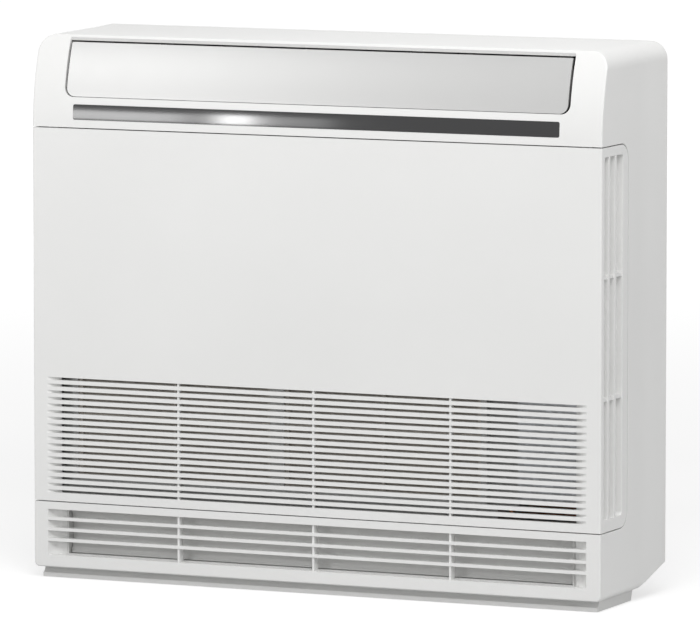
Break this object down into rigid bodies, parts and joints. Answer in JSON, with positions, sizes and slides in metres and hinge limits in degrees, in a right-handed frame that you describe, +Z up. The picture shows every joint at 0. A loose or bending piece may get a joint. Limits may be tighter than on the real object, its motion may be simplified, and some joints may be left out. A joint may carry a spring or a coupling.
{
  "type": "floor console air conditioner",
  "caption": "Low floor-standing room air conditioner with a slotted wrap-round front panel, an upper swing blade and a lower barred outlet.",
  "frame": {"origin": "centre of the footprint box on the floor", "axes": "+Z up, front of the unit faces -Y, +X to the viewer's right"},
  "size_m": [0.706, 0.192, 0.62],
  "materials": {
    "white_plastic": "fine satin moulding",
    "white_panel": "fine satin moulding",
    "gloss_white": "polished",
    "base_plastic": "satin",
    "display_gloss": "polished dark window",
    "circuit": "solder mask",
    "duct_plastic": "satin",
    "duct_grey": "satin",
    "motor_plastic": "satin",
    "fan_plastic": "satin",
    "steel": "turned",
    "motor_metal": "zinc plated",
    "zinc_sheet": "zinc plated sheet",
    "fins": "bare fin edges",
    "copper": "drawn copper tube",
    "brass": "turned brass",
    "rubber": "moulded",
    "filter_plastic": "satin",
    "filter_mesh": "woven net"
  },
  "bodies": {
    "cabinet": {"front_casing": "white_plastic", "lower_outlet_grille": "white_plastic", "base_plinth": "base_plastic", "display_window": "display_gloss", "display_board": "circuit", "air_duct": "duct_plastic", "outlet_duct": "duct_plastic", "blade_motor": "motor_plastic", "damper_motor": "motor_plastic", "bell_mouth": "duct_plastic", "fan_motor": "motor_metal", "motor_bracket": "zinc_sheet", "fin_pack": "fins", "coil_plate_left": "zinc_sheet", "coil_plate_right": "zinc_sheet", "return_bends": "copper", "gas_pipe": "copper", "liquid_pipe": "copper", "gas_union": "brass", "liquid_union": "brass", "drain_pan": "duct_grey", "filter_guide": "duct_plastic", "feet": "rubber", "control_box": "duct_plastic", "control_box_cover": "zinc_sheet", "main_board": "circuit", "terminal_block": "motor_plastic", "room_sensor": "motor_plastic", "rear_frame": "white_plastic"},
    "front_panel": {"front_panel": "white_panel"},
    "upper_blade": {"upper_blade": "gloss_white"},
    "lower_damper": {"lower_damper": "duct_grey"},
    "filter_left": {"filter_frame_left": "filter_plastic", "filter_mesh_left": "filter_mesh"},
    "filter_right": {"filter_frame_right": "filter_plastic", "filter_mesh_right": "filter_mesh"},
    "fan": {"turbo_fan": "fan_plastic", "fan_shaft": "steel", "hub_nut": "steel"},
    "link_bar_left": {"link_bar_left": "duct_grey"},
    "link_bar_right": {"link_bar_right": "duct_grey"},
    "vane_1": {"vane_1": "duct_grey"},
    "vane_2": {"vane_2": "duct_grey"},
    "vane_3": {"vane_3": "duct_grey"},
    "vane_4": {"vane_4": "duct_grey"},
    "vane_5": {"vane_5": "duct_grey"},
    "vane_6": {"vane_6": "duct_grey"},
    "vane_7": {"vane_7": "duct_grey"},
    "vane_8": {"vane_8": "duct_grey"},
    "vane_9": {"vane_9": "duct_grey"},
    "vane_10": {"vane_10": "duct_grey"}
  },
  "joints": [
    {"name": "front_panel_pull", "type": "slide", "parent": "cabinet", "child": "front_panel", "axis": [0, -1, 0], "range_m": [0, 0.08]},
    {"name": "upper_blade_turn", "type": "hinge", "parent": "cabinet", "child": "upper_blade", "pos_m": [0, -0.07, 0.5845], "axis": [-1, 0, 0], "range_deg": [0, 70]},
    {"name": "lower_damper_turn", "type": "hinge", "parent": "cabinet", "child": "lower_damper", "pos_m": [0, -0.07, 0.036], "axis": [-1, 0, 0], "range_deg": [0, 90]},
    {"name": "fan_spin", "type": "hinge", "parent": "cabinet", "child": "fan", "pos_m": [-0.035, 0.014, 0.305], "axis": [0, 1, 0], "continuous": true},
    {"name": "filter_left_lift", "type": "slide", "parent": "cabinet", "child": "filter_left", "axis": [0, 0, 1], "range_m": [0, 0.012]},
    {"name": "filter_right_lift", "type": "slide", "parent": "cabinet", "child": "filter_right", "axis": [0, 0, 1], "range_m": [0, 0.012]},
    {"name": "vane_1_turn", "type": "hinge", "parent": "cabinet", "child": "vane_1", "pos_m": [-0.274, -0.026, 0.58], "axis": [0, 0, 1], "range_deg": [-30, 30]},
    {"name": "vane_2_turn", "type": "hinge", "parent": "cabinet", "child": "vane_2", "pos_m": [-0.214, -0.026, 0.58], "axis": [0, 0, 1], "range_deg": [-30, 30]},
    {"name": "vane_3_turn", "type": "hinge", "parent": "cabinet", "child": "vane_3", "pos_m": [-0.154, -0.026, 0.58], "axis": [0, 0, 1], "range_deg": [-30, 30]},
    {"name": "vane_4_turn", "type": "hinge", "parent": "cabinet", "child": "vane_4", "pos_m": [-0.094, -0.026, 0.58], "axis": [0, 0, 1], "range_deg": [-30, 30]},
    {"name": "vane_5_turn", "type": "hinge", "parent": "cabinet", "child": "vane_5", "pos_m": [-0.034, -0.026, 0.58], "axis": [0, 0, 1], "range_deg": [-30, 30]},
    {"name": "vane_6_turn", "type": "hinge", "parent": "cabinet", "child": "vane_6", "pos_m": [0.034, -0.026, 0.58], "axis": [0, 0, 1], "range_deg": [-30, 30]},
    {"name": "vane_7_turn", "type": "hinge", "parent": "cabinet", "child": "vane_7", "pos_m": [0.094, -0.026, 0.58], "axis": [0, 0, 1], "range_deg": [-30, 30]},
    {"name": "vane_8_turn", "type": "hinge", "parent": "cabinet", "child": "vane_8", "pos_m": [0.154, -0.026, 0.58], "axis": [0, 0, 1], "range_deg": [-30, 30]},
    {"name": "vane_9_turn", "type": "hinge", "parent": "cabinet", "child": "vane_9", "pos_m": [0.214, -0.026, 0.58], "axis": [0, 0, 1], "range_deg": [-30, 30]},
    {"name": "vane_10_turn", "type": "hinge", "parent": "cabinet", "child": "vane_10", "pos_m": [0.274, -0.026, 0.58], "axis": [0, 0, 1], "range_deg": [-30, 30]},
    {"name": "link_bar_left_slide", "type": "slide", "parent": "cabinet", "child": "link_bar_left", "axis": [1, 0, 0], "range_m": [-0.0062, 0.0062]},
    {"name": "link_bar_right_slide", "type": "slide", "parent": "cabinet", "child": "link_bar_right", "axis": [1, 0, 0], "range_m": [-0.0062, 0.0062]}
  ],
  "couplings": [
    {"joint": "vane_2_turn", "follows": "vane_1_turn", "ratio": 1},
    {"joint": "vane_3_turn", "follows": "vane_1_turn", "ratio": 1},
    {"joint": "vane_4_turn", "follows": "vane_1_turn", "ratio": 1},
    {"joint": "vane_5_turn", "follows": "vane_1_turn", "ratio": 1},
    {"joint": "link_bar_left_slide", "follows": "vane_1_turn", "m_per_rad": -0.01146},
    {"joint": "vane_7_turn", "follows": "vane_6_turn", "ratio": 1},
    {"joint": "vane_8_turn", "follows": "vane_6_turn", "ratio": 1},
    {"joint": "vane_9_turn", "follows": "vane_6_turn", "ratio": 1},
    {"joint": "vane_10_turn", "follows": "vane_6_turn", "ratio": 1},
    {"joint": "link_bar_right_slide", "follows": "vane_6_turn", "m_per_rad": -0.01146}
  ]
}
